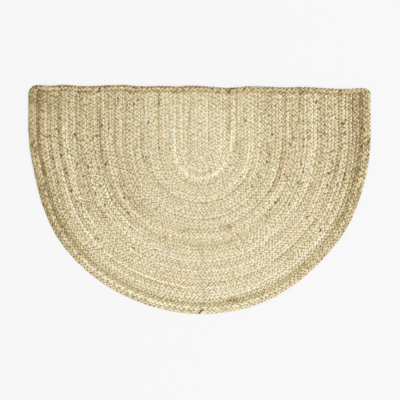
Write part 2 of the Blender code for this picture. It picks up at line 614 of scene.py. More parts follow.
def round_route(edge_round):
    """The middle line of one round of the edge, and how far each place belongs to the straight edge."""
    first, last = CURVE[0].deg, CURVE[-1].deg
    corners = {}
    for name, sign, radius in (("right", 1, edge_round.right_corner), ("left", -1, edge_round.left_corner)):
        x = side_x(name) - sign * (edge_round.inset + radius)
        y = straight_edge_y(x) - edge_round.straight_inset - radius
        bend = []
        for step in range(13):
            angle = step / 12 * math.pi / 2
            bend.append((x + sign * radius * math.cos(angle), y + radius * math.sin(angle), step / 12))
        corners[name] = bend
    start, end = corners["right"][-1][0], corners["left"][-1][0]
    rising = [curve_point(deg, edge_round.inset) for deg in np.linspace(edge_round.join_deg, last, 90)]
    tucked_deg = edge_round.join_deg + TUCK_LAP_DEG
    falling = [curve_point(deg, edge_round.inset) for deg in np.linspace(first, tucked_deg, 90)]
    straight = np.linspace(start, end, 141)[1:-1]
    stops = [(*place, 0.0) for place in rising]
    stops += corners["right"]
    stops += [(x, straight_edge_y(x) - edge_round.straight_inset, 1.0) for x in straight]
    stops += corners["left"][::-1]
    stops += [(*place, 0.0) for place in falling]
    stops = np.array(stops)
    return stops[:, :2], stops[:, 2]


class Braid(NamedTuple):
    """A braid's middle line, the cycles run through at each step, and its strands' size, tone and hue."""

    points: np.ndarray
    along: np.ndarray
    cycle: float
    turns: np.ndarray
    reach: np.ndarray
    lift: float
    tilt: np.ndarray
    middle: np.ndarray
    width: float
    height: float
    lane_tones: np.ndarray
    lane_hues: np.ndarray
    uneven: np.ndarray
    # crease, outer_seam and inner_seam set how much painted shade the strands get in the grooves along the
    # braid's sides and at its seams
    crease: np.ndarray
    outer_seam: float
    inner_seam: float


class Strand(NamedTuple):
    """One strand's vertices, in rings, and what its fibre looks like at each."""

    rings: np.ndarray
    fibre: np.ndarray
    tone: np.ndarray
    hue: np.ndarray
    open_face: np.ndarray


def unit(vectors):
    """The vectors at length one."""
    return vectors / np.maximum(np.linalg.norm(vectors, axis=1, keepdims=True), 1e-12)


def leftward(points):
    """The flat direction to the left of a polyline at each of its points."""
    ahead = unit(np.gradient(points, axis=0))
    return np.column_stack([-ahead[:, 1], ahead[:, 0]])


def changing(places, change, rng):
    """Smooth random values at sorted places, of a change's amount and length."""
    return change.amount * drift(places, change.length, rng)


def side_drifts(along, length, sides, rng):
    """Smooth random values along each side of a strand."""
    return np.stack([drift(along, length, rng) for _ in range(sides)], axis=1)


def stitch_turns(along, cycle, rng):
    """The cycles run through at each step of a braid whose stitches are pulled here tighter, there looser."""
    pull = 1 + changing(along, STITCH_PULL, rng)
    spans = np.diff(along, prepend=along[0]) / (cycle * pull)
    return np.cumsum(spans) + rng.uniform(0, 1)


def strand_centre(braid, across_axis, lift_axis, phase, rng):
    """The middle line of a strand that swings out over the top of its braid and back in underneath."""
    across = braid.reach * np.sin(phase) * (1 + SWING_CHANGE * drift(braid.along, braid.cycle, rng))
    lift = braid.lift * np.sin(2 * phase) * (1 + LIFT_CHANGE * drift(braid.along, braid.cycle, rng))
    middle = np.column_stack([braid.points, braid.middle])
    return middle + across_axis * across[:, None] + lift_axis * lift[:, None]


def strand_rings(braid, centre, lift_axis, phase, angles, rng):
    """A strand's flat sections, turned over where it folds round the braid's edge, and kept off the floor."""
    forward = unit(np.gradient(centre, axis=0))
    face = unit(lift_axis - forward * np.sum(lift_axis * forward, axis=1, keepdims=True))
    flank = np.cross(forward, face)
    degrees = np.degrees(phase) % 360
    fold = math.pi * (ramp(degrees, *FOLD_OVER) - ramp(degrees, *FOLD_BACK))
    face, flank = (
        face * np.cos(fold)[:, None] - flank * np.sin(fold)[:, None],
        flank * np.cos(fold)[:, None] + face * np.sin(fold)[:, None],
    )
    width = braid.width * (1 + WIDTH_CHANGE * drift(braid.along, braid.cycle * 0.5, rng))
    height = braid.height * (1 + HEIGHT_CHANGE * drift(braid.along, braid.cycle * 0.5, rng))
    ends = np.minimum(braid.along, braid.along[-1] - braid.along) / (braid.width * 0.5)
    taper = np.sqrt(np.clip(ends, SHARPEST_END, 1.0))
    sides = len(angles)
    bundle = 1 + BUNDLE_SWELL.amount * side_drifts(braid.along, BUNDLE_SWELL.length, sides, rng)
    bundle += FLUTE * np.cos(np.arange(sides) * math.pi)
    half_width = ((width * taper / 2)[:, None] * np.cos(angles) * bundle)[:, :, None]
    half_height = ((height * taper / 2)[:, None] * np.sin(angles) * bundle)[:, :, None]
    rings = centre[:, None, :] + flank[:, None, :] * half_width + face[:, None, :] * half_height
    level = rings[:, :, 2]
    rings[:, :, 2] = (level + np.sqrt(level**2 + PRESSED**2)) / 2
    return rings


def strand_fibre(braid, angles, rng):
    """Where each vertex of a strand lies in its own slightly twisted fibre."""
    twist = angles[None, :] + braid.along[:, None] * STRAND_TWIST
    start = rng.uniform(*FIBRE_STARTS)
    lengthwise = np.broadcast_to(braid.along[:, None] + start, twist.shape)
    return np.stack([lengthwise, np.cos(twist) * braid.width / 2, np.sin(twist) * braid.width / 2], axis=2)


def stitch_look(braid, phase, rng):
    """A strand's tone and hue at each step, by the lane it shows in and from stitch to stitch."""
    outer = ramp(np.sin(phase), *LANE_BLEND)
    stitch = np.floor(phase / math.pi).astype(int)
    own = rng.normal(0.0, STITCH_TONE, np.ptp(stitch) + 1)[stitch - stitch.min()]
    drifted = changing(braid.along, STRAND_SLOW, rng) + changing(braid.along, STRAND_QUICK, rng)
    tone = braid.lane_tones[0] * (1 - outer) + braid.lane_tones[1] * outer
    tone = tone + braid.uneven * (own + STRAND_TONE * drifted)
    slow, quick = (drift(braid.along, length, rng) for length in STRAND_HUE_LENGTHS)
    hue = braid.lane_hues[0] * (1 - outer) + braid.lane_hues[1] * outer
    return tone, hue + STRAND_HUE * braid.uneven * (slow + quick)


def strand_open_face(braid, rings, left, angles, rng):
    """How open to the light each vertex of a strand is: least in the grooves and low in the braid."""
    level = np.abs(rings[:, :, 2] - braid.middle[:, None]) / (braid.lift + braid.height / 2)
    offset = rings[:, :, :2] - braid.points[:, None, :]
    offset = np.sum(offset * left[:, None, :], axis=2)
    groove = braid.crease[:, None] * ramp(np.abs(offset), *GROOVE)
    snug = braid.inner_seam * ramp(offset, *SEAM) + braid.outer_seam * ramp(-offset, *SEAM)
    standing = np.abs(np.sin(braid.tilt)[:, None])
    level = np.minimum(level, 1.0)
    level = level + (1 - level) * snug * (1 - standing) - FLANK_SHADE * standing * np.cos(angles) ** 4
    pulled = 1 + changing(braid.along, PULL_SHADE, rng)
    return 1 - (1 - ramp(level, *OPEN_LEVELS) * (1 - groove)) * pulled[:, None]


def lay_strand(braid, turn, sides, rng):
    """Lays one of a braid's strands: out over the top, folded round the edge, and back in underneath."""
    flat_left = leftward(braid.points)
    left = np.column_stack([flat_left, np.zeros(len(flat_left))])
    cos_tilt, sin_tilt = np.cos(braid.tilt)[:, None], np.sin(braid.tilt)[:, None]
    across_axis = left * cos_tilt - UP * sin_tilt
    lift_axis = left * sin_tilt + UP * cos_tilt
    angles = np.arange(sides) / sides * TURN

    slack = STRAND_SLACK * drift(braid.along, braid.cycle * 0.7, rng)
    phase = TURN * (braid.turns + turn) + slack
    centre = strand_centre(braid, across_axis, lift_axis, phase, rng)
    rings = strand_rings(braid, centre, lift_axis, phase, angles, rng)
    fibre = strand_fibre(braid, angles, rng)
    tone, hue = stitch_look(braid, phase, rng)
    side_tone = BUNDLE_TONE.amount * side_drifts(braid.along, BUNDLE_TONE.length, sides, rng)
    open_face = strand_open_face(braid, rings, flat_left, angles, rng)
    spot_tone, spot_hue = stains_and_shadows(rings)
    side_tone += bark_flecks(braid, sides, rng)
    return Strand(
        rings=rings,
        fibre=fibre,
        tone=tone[:, None] + side_tone + spot_tone,
        hue=hue[:, None] + spot_hue,
        open_face=open_face,
    )


def braid_strands(braid, sides, rng):
    """The three strands of a braid, each a third of a cycle after the one before."""
    return [lay_strand(braid, turn / 3, sides, rng) for turn in range(3)]


def bark_flecks(braid, sides, rng):
    """The tone that short slivers of dark bark add, each along a few sides of a strand."""
    tone = np.zeros((len(braid.along), sides))
    strength = field_strength(braid.points)
    for _ in range(int(braid.along[-1] / FLECK_SPACING)):
        at = rng.integers(1, len(braid.along) - 1)
        side = rng.integers(0, sides)
        if rng.uniform(0, 1) < 2 * strength[at] - 1:
            half = rng.uniform(*FLECK_HALF)
            here = 1 - ramp(np.abs(braid.along - braid.along[at]), half, half * 2)
            tone[:, side] += FLECK_TONE * here
            tone[:, (side + 1) % sides] += FLECK_TONE * FLECK_NEIGHBOUR * here
    return tone


class Spot(NamedTuple):
    """A patch of jute whose colour differs, a fleck of bark, or a spot of painted shadow: its middle, its
    size and what it adds.
    """

    x: float
    y: float
    wide: float
    high: float
    tone: float
    hue: float


STAINS_AND_SHADOWS = (
    Spot(x=271, y=207, wide=7, high=5, tone=2.0, hue=0.0),
    Spot(x=288, y=204, wide=6, high=5, tone=1.6, hue=0.0),
    Spot(x=330, y=196, wide=6, high=6, tone=1.6, hue=0.0),
    Spot(x=358, y=167, wide=5, high=7, tone=1.6, hue=0.0),
    Spot(x=383, y=209, wide=6, high=5, tone=1.6, hue=0.0),
    Spot(x=120, y=207, wide=6, high=7, tone=2.2, hue=0.0),
    Spot(x=112, y=193, wide=5, high=6, tone=1.8, hue=0.0),
    Spot(x=-88, y=56, wide=5, high=5, tone=2.0, hue=0.0),
    Spot(x=28, y=78, wide=5, high=9, tone=1.6, hue=0.0),
    Spot(x=-107, y=251, wide=5, high=8, tone=2.0, hue=0.0),
    Spot(x=78, y=283, wide=7, high=6, tone=2.0, hue=0.0),
    Spot(x=88, y=291, wide=6, high=5, tone=1.8, hue=0.0),
    Spot(x=81, y=112, wide=5, high=6, tone=1.6, hue=0.0),
    Spot(x=86, y=-264, wide=34, high=12, tone=0.9, hue=0.6),
    Spot(x=75, y=-73, wide=30, high=24, tone=0.45, hue=0.4),
    Spot(x=-52, y=-86, wide=26, high=14, tone=0.20, hue=-0.8),
    Spot(x=12, y=-238, wide=34, high=11, tone=0.15, hue=0.5),
    Spot(x=-434, y=280, wide=50, high=60, tone=0.35, hue=0.0),
    Spot(x=100, y=138, wide=26, high=44, tone=0.15, hue=-0.45),
    # Painted shadow where the outer round's last end is tucked down at the foot, with a paler spot beside it
    Spot(x=-4, y=-301, wide=6, high=6, tone=2.2, hue=0.0),
    Spot(x=0, y=-297, wide=6, high=6, tone=2.2, hue=0.0),
    Spot(x=4, y=-293, wide=6, high=6, tone=2.2, hue=0.0),
    Spot(x=8, y=-289, wide=6, high=6, tone=1.8, hue=0.0),
    Spot(x=9, y=-298, wide=10, high=8, tone=-0.6, hue=0.0),
)


def stains_and_shadows(rings):
    """The tone and hue that stains, flecks and spots of painted shadow add to a strand's vertices."""
    tone, hue = np.zeros(rings.shape[:2]), np.zeros(rings.shape[:2])
    for spot in STAINS_AND_SHADOWS:
        across = (rings[:, :, 0] - spot.x * MM) / (spot.wide * MM)
        up_down = (rings[:, :, 1] - spot.y * MM) / (spot.high * MM)
        share = 1 - ramp(np.hypot(across, up_down), 0.25, 0.75)
        tone += spot.tone * share
        hue += spot.hue * share
    return tone, hue


def strand_faces(strands):
    """The faces of strands, each a tube with closed ends: corner numbers, corner counts and map places."""
    sides = strands[0].rings.shape[1]
    spans = sum(len(s.rings) - 1 for s in strands)
    chunk = max(8, round(math.sqrt(spans * sides)))
    strips = sum(math.ceil((len(s.rings) - 1) / chunk) for s in strands) + 1
    corners, counts, maps = [], [], []
    base = first_strip = 0
    for index, strand in enumerate(strands):
        steps = len(strand.rings)
        i, j = np.meshgrid(np.arange(steps - 1), np.arange(sides), indexing="ij")
        ring, after = base + i * sides, (j + 1) % sides
        quad = [ring + j, ring + sides + j, ring + sides + after, ring + after]
        corners.append(np.stack(quad, axis=2).reshape(-1))
        counts.append(np.full((steps - 1) * sides, 4))
        strip = first_strip + i // chunk
        u0 = (i % chunk) / chunk * (1 - 2 * MAP_EDGE) + MAP_EDGE
        u1 = (i % chunk + 1) / chunk * (1 - 2 * MAP_EDGE) + MAP_EDGE
        v0 = (strip + STRIP_EDGE + j / sides * (1 - 2 * STRIP_EDGE)) / strips
        v1 = (strip + STRIP_EDGE + (j + 1) / sides * (1 - 2 * STRIP_EDGE)) / strips
        quad_map = [np.stack(pair, 2) for pair in ((u0, v0), (u1, v0), (u1, v1), (u0, v1))]
        maps.append(np.stack(quad_map, 2).reshape(-1, 2))
        for end, order in ((0, np.arange(sides)), (steps - 1, np.arange(sides)[::-1])):
            corners.append(base + end * sides + order)
            counts.append(np.array([sides]))
            cell = index * 2 + (end > 0)
            angle = order / sides * TURN
            middle = np.array([(cell + 0.5) / (2 * len(strands)), (strips - 0.5) / strips])
            size = 0.3 * min(1 / (2 * len(strands)), 1 / strips)
            sign = -1 if end == 0 else 1
            maps.append(middle + size * np.column_stack([sign * np.cos(angle), np.sin(angle)]))
        base += steps * sides
        first_strip += math.ceil((steps - 1) / chunk)
    return np.concatenate(corners), np.concatenate(counts), np.concatenate(maps)


def give_jute(mesh, tone, hue, open_face, fibre, finish):
    """Writes the fibre's look at each vertex of a mesh and gives the mesh its finish."""
    for key, values in (("tone", tone), ("hue", hue), ("open_face", open_face)):
        attribute = mesh.attributes.new(key, "FLOAT", "POINT")
        attribute.data.foreach_set("value", values.astype(np.float32))
    attribute = mesh.attributes.new("fibre", "FLOAT_VECTOR", "POINT")
    attribute.data.foreach_set("vector", fibre.astype(np.float32).ravel())
    mesh.shade_smooth()
    mesh.materials.append(finish)


def placed(name, data):
    """A new object in the scene."""
    made = bpy.data.objects.new(name, data)
    bpy.context.collection.objects.link(made)
    return made


def strands_object(name, strands, finish):
    """Joins strands into one mesh object, with their fibre attributes and a neat unrolled map."""
    rings = np.concatenate([s.rings.reshape(-1, 3) for s in strands])
    corners, counts, maps = strand_faces(strands)
    mesh = bpy.data.meshes.new(name)
    mesh.vertices.add(len(rings))
    mesh.vertices.foreach_set("co", rings.astype(np.float32).ravel())
    mesh.loops.add(len(corners))
    mesh.loops.foreach_set("vertex_index", corners.astype(np.int32))
    mesh.polygons.add(len(counts))
    starts = np.concatenate([[0], np.cumsum(counts)[:-1]])
    mesh.polygons.foreach_set("loop_start", starts.astype(np.int32))
    mesh.update(calc_edges=True)
    mesh.validate()
    mesh.uv_layers.new(name="OFBake").data.foreach_set("uv", maps.astype(np.float32).ravel())
    tone = np.concatenate([s.tone.ravel() for s in strands])
    hue = np.concatenate([s.hue.ravel() for s in strands])
    open_face = np.concatenate([s.open_face.ravel() for s in strands])
    fibre = np.concatenate([s.fibre.reshape(-1, 3) for s in strands])
    give_jute(mesh, tone, hue, open_face, fibre, finish)
    return placed(name, mesh)


class Run(NamedTuple):
    """A stretch of one row whose jute differs, in millimetres, and its lane of stitches: -1 is the outer one,
    1 the inner one and 0 both.
    """

    row: int
    lane: int
    x: float
    y: float
    length: float
    tone: float
    hue: float


RUNS = (
    Run(row=3, lane=-1, x=-22, y=150, length=60, tone=0.40, hue=0.0),
    Run(row=4, lane=1, x=-27, y=215, length=60, tone=0.80, hue=0.0),
    Run(row=4, lane=-1, x=-32, y=165, length=60, tone=0.60, hue=0.0),
    Run(row=6, lane=-1, x=-51, y=235, length=90, tone=-0.50, hue=0.0),
    Run(row=8, lane=1, x=-64, y=155, length=240, tone=-0.85, hue=0.0),
    Run(row=8, lane=-1, x=-66, y=150, length=110, tone=-0.35, hue=0.0),
    Run(row=8, lane=-1, x=10, y=56, length=200, tone=-0.80, hue=0.0),
    Run(row=8, lane=-1, x=76, y=200, length=240, tone=0.65, hue=-0.1),
    Run(row=9, lane=1, x=80, y=122, length=100, tone=-0.75, hue=0.0),
    Run(row=9, lane=-1, x=86, y=160, length=90, tone=-0.70, hue=0.0),
    Run(row=9, lane=1, x=80, y=240, length=140, tone=0.70, hue=-0.1),
    Run(row=9, lane=-1, x=60, y=72, length=95, tone=0.50, hue=0.0),
    Run(row=10, lane=1, x=89, y=210, length=190, tone=-0.80, hue=0.0),
    Run(row=10, lane=-1, x=-86, y=225, length=140, tone=-0.70, hue=0.0),
    Run(row=11, lane=1, x=100, y=220, length=180, tone=0.50, hue=-0.2),
    Run(row=12, lane=-1, x=-108, y=196, length=260, tone=0.65, hue=-0.4),
    Run(row=13, lane=1, x=-118, y=250, length=110, tone=0.30, hue=-0.4),
    Run(row=14, lane=-1, x=118, y=78, length=180, tone=-0.50, hue=0.0),
    Run(row=16, lane=1, x=0, y=-10, length=460, tone=0.80, hue=-0.2),
    Run(row=16, lane=1, x=-142, y=196, length=240, tone=-0.20, hue=0.0),
    Run(row=17, lane=-1, x=-155, y=160, length=120, tone=0.50, hue=-0.2),
    Run(row=18, lane=1, x=-160, y=190, length=220, tone=-0.20, hue=0.0),
    Run(row=20, lane=-1, x=186, y=190, length=380, tone=0.80, hue=-0.4),
    Run(row=21, lane=1, x=-189, y=231, length=120, tone=-0.45, hue=0.0),
    Run(row=23, lane=0, x=212, y=195, length=140, tone=0.25, hue=0.0),
    Run(row=24, lane=-1, x=218, y=170, length=320, tone=0.75, hue=-0.1),
    Run(row=24, lane=1, x=204, y=65, length=180, tone=0.85, hue=-0.1),
    Run(row=26, lane=-1, x=-238, y=231, length=120, tone=0.60, hue=-0.3),
    Run(row=26, lane=-1, x=240, y=160, length=240, tone=0.50, hue=-0.2),
    Run(row=26, lane=1, x=-185, y=-4, length=120, tone=0.60, hue=0.0),
    Run(row=27, lane=-1, x=-248, y=190, length=240, tone=-0.45, hue=0.0),
    Run(row=27, lane=-1, x=197, y=-13, length=150, tone=0.55, hue=0.0),
    Run(row=29, lane=1, x=-264, y=160, length=160, tone=0.95, hue=-0.5),
    Run(row=29, lane=-1, x=270, y=196, length=260, tone=0.60, hue=0.1),
    Run(row=30, lane=-1, x=-214, y=-33, length=170, tone=-0.60, hue=0.0),
    Run(row=32, lane=1, x=-292, y=175, length=220, tone=0.55, hue=-0.7),
    Run(row=36, lane=-1, x=326, y=84, length=130, tone=0.70, hue=0.0),
    Run(row=39, lane=1, x=-342, y=81, length=300, tone=-0.50, hue=0.0),
    Run(row=40, lane=1, x=255, y=-112, length=160, tone=0.50, hue=0.0),
    Run(row=41, lane=1, x=-331, y=-22, length=220, tone=-0.55, hue=0.0),
    Run(row=41, lane=0, x=262, y=-118, length=120, tone=0.30, hue=0.0),
    Run(row=42, lane=1, x=-384, y=183, length=60, tone=0.60, hue=0.2),
    Run(row=42, lane=1, x=-150, y=-205, length=250, tone=0.55, hue=-0.1),
    Run(row=42, lane=0, x=270, y=-122, length=120, tone=0.30, hue=0.0),
    Run(row=43, lane=0, x=0, y=-247, length=900, tone=-0.38, hue=0.0),
    Run(row=43, lane=-1, x=399, y=231, length=120, tone=-0.20, hue=0.0),
    Run(row=44, lane=1, x=404, y=190, length=280, tone=0.85, hue=0.0),
    Run(row=44, lane=0, x=-300, y=-135, length=420, tone=0.22, hue=0.0),
    Run(row=45, lane=0, x=-306, y=-140, length=420, tone=0.25, hue=0.0),
)


def run_share(run, lane, along, rng):
    """How far a named run reaches each point of its lane: all of it at its middle, less towards its ends."""
    nearest = int(np.argmin(np.hypot(lane[:, 0] - run.x * MM, lane[:, 1] - run.y * MM)))
    away = np.abs(along - along[nearest])
    share = 1 - ramp(away, run.length * MM * 0.3, run.length * MM * 0.6)
    return share * (RUN_STRENGTH + changing(along, RUN_BREAKS, rng))


def row_runs(row, points, along, rng, strength):
    """The tone and hue that each of a row's two lanes of stitches adds along it, with its named runs."""
    shared = changing(along, ROW_SLOW, rng) + changing(along, ROW_QUICK, rng)
    shared = shared + ROW_OWN * rng.uniform(0, 1) ** 2 + ROW_LEAST
    hue = changing(along, HUE_SLOW, rng) + changing(along, HUE_QUICK, rng)
    hue = ROW_HUE * (hue + HUE_OWN * rng.uniform(-1, 1))
    left = leftward(points)
    tones, hues = [], []
    for side in (-1, 1):
        lane = points + side * LANE_OFFSET * left
        own = LANE_OWN * rng.uniform(0, 1) ** 3 + LANE_LEAST + changing(along, LANE_SLOW, rng)
        patch = np.clip(drift(along, LANE_PATCH.length, rng) - LANE_PATCH_FROM, 0.0, 1.0)
        own = own + LANE_PATCH.amount * patch
        tone = (ROW_TONE * shared + LANE_TONE * own) * strength
        lane_hue = hue * strength
        for run in RUNS:
            if run.row == row and run.lane in (0, side):
                share = run_share(run, lane, along, rng)
                tone, lane_hue = tone + run.tone * share, lane_hue + run.hue * share
        tones.append(tone)
        hues.append(lane_hue)
    return np.array(tones), np.array(hues)


class RimRow(NamedTuple):
    """How much more tan than the field an outermost row is, at its left, foot and right, and its hues."""

    row: int
    left: float
    foot: float
    right: float
    side_hue: float
    foot_hue: float


RIM_ROWS = (
    RimRow(row=46, left=1.38, foot=0.85, right=1.15, side_hue=0.15, foot_hue=-0.35),
    RimRow(row=45, left=0.25, foot=0.20, right=0.60, side_hue=0.1, foot_hue=-0.3),
    RimRow(row=44, left=0.00, foot=0.00, right=0.05, side_hue=0.0, foot_hue=0.0),
)


def rim_look(points, row):
    """What a row near the rim adds to its tone and hue at each of its points."""
    tone, hue = np.zeros(len(points)), np.zeros(len(points))
    for rim in RIM_ROWS:
        if rim.row == row:
            side = np.where(points[:, 0] < 0, rim.left, rim.right)
            high = ramp(points[:, 1], *RIM_RISE)
            tone += rim.foot + (side - rim.foot) * high
            hue += rim.foot_hue + (rim.side_hue - rim.foot_hue) * high
    return tone, hue


def cut_end_tone(along, rng):
    """The shade that a row gathers where its cut ends go in under the edge, some ends deeper than others."""
    from_end = np.minimum(along, along[-1] - along)
    first, last = rng.uniform(*END_SHARES), rng.uniform(*END_SHARES)
    end_shade = np.where(along < along[-1] / 2, first, last) * END_SHADE
    near_end = NEAR_END_SHADE * (1 - ramp(from_end, *NEAR_END_DEPTH))
    return end_shade * (1 - ramp(from_end, *END_DEPTH)) + near_end


COLOURS = ("bleached", "pale", "tan", "umber", "bark_and_shade", "rosy", "olive")


def fibre_group():
    """The fibre effect that every jute piece shares: tone, hue, streaks along the strand, painted shade in
    the crevices and bark flecks.
    """
    tree = bpy.data.node_groups.new("jute fibre", "ShaderNodeTree")
    sockets = [(name.capitalize(), "INPUT", "NodeSocketColor") for name in COLOURS]
    sockets += [(name, "INPUT", "NodeSocketFloat") for name in ("Streak", "Crevice")]
    sockets += [("Color", "OUTPUT", "NodeSocketColor")]
    sockets += [(name, "OUTPUT", "NodeSocketFloat") for name in ("Roughness", "Height")]
    for name, side, kind in sockets:
        tree.interface.new_socket(name=name, in_out=side, socket_type=kind)
    nodes, links = tree.nodes, tree.links
    source = nodes.new("NodeGroupInput").outputs
    result = nodes.new("NodeGroupOutput").inputs

    def attribute(name, output):
        node = nodes.new("ShaderNodeAttribute")
        node.attribute_name = name
        return node.outputs[output]

    def maths(operation, a, b, clamp=False):
        node = nodes.new("ShaderNodeMath")
        node.operation = operation
        node.use_clamp = clamp
        links.new(a, node.inputs[0])
        if isinstance(b, float):
            node.inputs[1].default_value = b
        else:
            links.new(b, node.inputs[1])
        return node.outputs[0]

    def mixed(factor, a, b, blend="MIX"):
        node = nodes.new("ShaderNodeMix")
        node.data_type = "RGBA"
        node.blend_type = blend
        for socket, value in ((node.inputs[0], factor), (node.inputs[6], a), (node.inputs[7], b)):
            links.new(value, socket)
        return node.outputs[2]

    def noise(vector, stretch, detail):
        place = nodes.new("ShaderNodeMapping")
        place.inputs["Scale"].default_value = stretch
        links.new(vector, place.inputs["Vector"])
        node = nodes.new("ShaderNodeTexNoise")
        node.inputs["Scale"].default_value = 1.0
        node.inputs["Detail"].default_value = detail
        node.inputs["Roughness"].default_value = 0.6
        links.new(place.outputs[0], node.inputs["Vector"])
        return node.outputs["Fac"]

    def spread(value, low, high, to_low=0.0, to_high=1.0):
        node = nodes.new("ShaderNodeMapRange")
        node.inputs["From Min"].default_value = low
        node.inputs["From Max"].default_value = high
        node.inputs["To Min"].default_value = to_low
        node.inputs["To Max"].default_value = to_high
        links.new(value, node.inputs["Value"])
        return node.outputs[0]

    fibre = attribute("fibre", "Vector")
    tone = attribute("tone", "Fac")
    hue = attribute("hue", "Fac")
    open_face = attribute("open_face", "Fac")
    strings = noise(fibre, STRING_GRAIN, 2.0)
    bundles = noise(fibre, BUNDLE_GRAIN, 2.0)
    flecks = noise(fibre, BARK_GRAIN, 1.0)

    # The tone runs from bleached, below 0, through pale at 0, tan at 1 and umber at 2 to bark at 3; the bark
    # colour is also the colour of the painted shade in the crevices
    lean = maths("ADD", maths("MULTIPLY", maths("SUBTRACT", bundles, 0.5), 2.9), tone)
    colour = mixed(maths("ADD", lean, 0.0, clamp=True), source["Pale"], source["Tan"])
    colour = mixed(maths("MULTIPLY", lean, -1.0, clamp=True), colour, source["Bleached"])
    colour = mixed(maths("SUBTRACT", lean, 1.0, clamp=True), colour, source["Umber"])
    colour = mixed(maths("SUBTRACT", lean, 2.0, clamp=True), colour, source["Bark_and_shade"])
    colour = mixed(spread(hue, 0.0, 1.0), colour, source["Rosy"], "MULTIPLY")
    colour = mixed(spread(hue, 0.0, -1.0), colour, source["Olive"], "MULTIPLY")

    # Streaks of lighter and darker strings, then painted shade in the crevices, weaker on paler fibre, then
    # slivers of bark
    grain = maths("ADD", maths("MULTIPLY", strings, 0.6), maths("MULTIPLY", bundles, 0.4))
    streak = maths("MULTIPLY", maths("SUBTRACT", grain, 0.5), source["Streak"])
    streaked = nodes.new("ShaderNodeVectorMath")
    streaked.operation = "SCALE"
    links.new(colour, streaked.inputs[0])
    links.new(maths("ADD", streak, 1.0), streaked.inputs["Scale"])
    # Painted shade: the less open to the light a vertex is, the more its colour is mixed towards the dark
    # bark colour
    crevice_shade_strength = maths("MULTIPLY", spread(tone, -0.5, 1.2, 0.3, 1.0), source["Crevice"])
    crevice_shade = maths("MULTIPLY", spread(open_face, 0.75, 0.0), crevice_shade_strength, clamp=True)
    colour = mixed(crevice_shade, streaked.outputs[0], source["Bark_and_shade"])
    colour = mixed(spread(flecks, 0.72, 0.77, 0.0, 0.85), colour, source["Bark_and_shade"])
    links.new(colour, result["Color"])
    links.new(spread(strings, 0.3, 0.7, 0.72, 0.95), result["Roughness"])
    height = maths("ADD", maths("MULTIPLY", strings, 0.6), maths("MULTIPLY", bundles, 0.6))
    links.new(height, result["Height"])
    return tree


def jute_material(name, streak, crevice):
    """A dull, fibrous finish with a faint sheen."""
    made = bpy.data.materials.new(name)
    made.use_nodes = True
    nodes, links = made.node_tree.nodes, made.node_tree.links
    shader = nodes["Principled BSDF"]
    shader.inputs["Metallic"].default_value = 0.0
    shader.inputs["Specular IOR Level"].default_value = 0.25
    shader.inputs["Sheen Weight"].default_value = 0.15
    shader.inputs["Sheen Roughness"].default_value = 0.5
    group = nodes.new("ShaderNodeGroup")
    group.node_tree = bpy.data.node_groups.get("jute fibre") or fibre_group()
    for key in COLOURS:
        group.inputs[key.capitalize()].default_value = (*getattr(bpy.context.scene.jute_colours, key), 1.0)
    group.inputs["Streak"].default_value = streak
    group.inputs["Crevice"].default_value = crevice
    links.new(group.outputs["Color"], shader.inputs["Base Color"])
    links.new(group.outputs["Roughness"], shader.inputs["Roughness"])
    bump = nodes.new("ShaderNodeBump")
    bump.inputs["Strength"].default_value = 0.6
    bump.inputs["Distance"].default_value = 0.0005
    links.new(group.outputs["Height"], bump.inputs["Height"])
    links.new(bump.outputs["Normal"], shader.inputs["Normal"])
    return made


def field_material():
    """The field's jute, made once."""
    return bpy.data.materials.get("field jute") or jute_material("field jute", streak=2.1, crevice=0.97)


def braid_row(row, sizes):
    """The strands of one of the field's rows, counted from the core outwards."""
    rng = np.random.default_rng(FIELD_SEED + row)
    stitch = sizes.long_stitch if row % 2 else sizes.stitch
    cycle = 3 * stitch * (1 + rng.uniform(-CYCLE_SPREAD, CYCLE_SPREAD))
    points, along = resampled(row_route((row - 0.5) / ROW_COUNT), cycle / sizes.steps_per_cycle)
    points = softened(points, passes=6)
    wander = changing(along, ROW_WANDER, rng)
    points = points + leftward(points) * wander[:, None]
    strength = field_strength(points)
    tones, hues = row_runs(row, points, along, rng, strength=0.3 + 0.7 * strength)
    rim_tone, rim_hue = rim_look(points, row)
    tones = tones + tan_at(points, FIELD_TONES) + rim_tone + cut_end_tone(along, rng)
    slim = 1 - SIDE_SLIMMING * (strength - 0.5) + changing(along, ROW_SLIMMING, rng)
    last = row == ROW_COUNT
    braid = Braid(
        points=points,
        along=along,
        cycle=cycle,
        turns=stitch_turns(along, cycle, rng),
        reach=sizes.reach * slim,
        lift=(FIELD_TOP - sizes.strand_height) / 2,
        tilt=np.zeros(len(along)),
        middle=FIELD_TOP / 2 + changing(along, ROW_WAVE, rng),
        width=sizes.strand_width,
        height=sizes.strand_height,
        lane_tones=tones,
        lane_hues=hues + rim_hue,
        uneven=strength + np.maximum(rim_tone, 0.0),
        crease=(EDGE_CREASE if last else ROW_CREASE) * strength,
        outer_seam=SNUG_SEAM if last else 0.0,
        inner_seam=0.0,
    )
    return braid_strands(braid, sizes.sides, rng)


class DOORMAT_OT_field_rows(bpy.types.Operator):
    """Braids the field's rows, two to an object, one nested half oval round the other"""

    bl_idname = "doormat.field_rows"
    bl_label = "Braid the Field Rows"

    def execute(self, context):
        sizes = context.scene.braid_sizes
        for pair in range(ROW_COUNT // 2):
            strands = braid_row(2 * pair + 1, sizes) + braid_row(2 * pair + 2, sizes)
            piece = strands_object(f"field_rows_{pair + 1:02d}", strands, field_material())
            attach(piece, "root")
            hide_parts("braided_field")
        return {"FINISHED"}


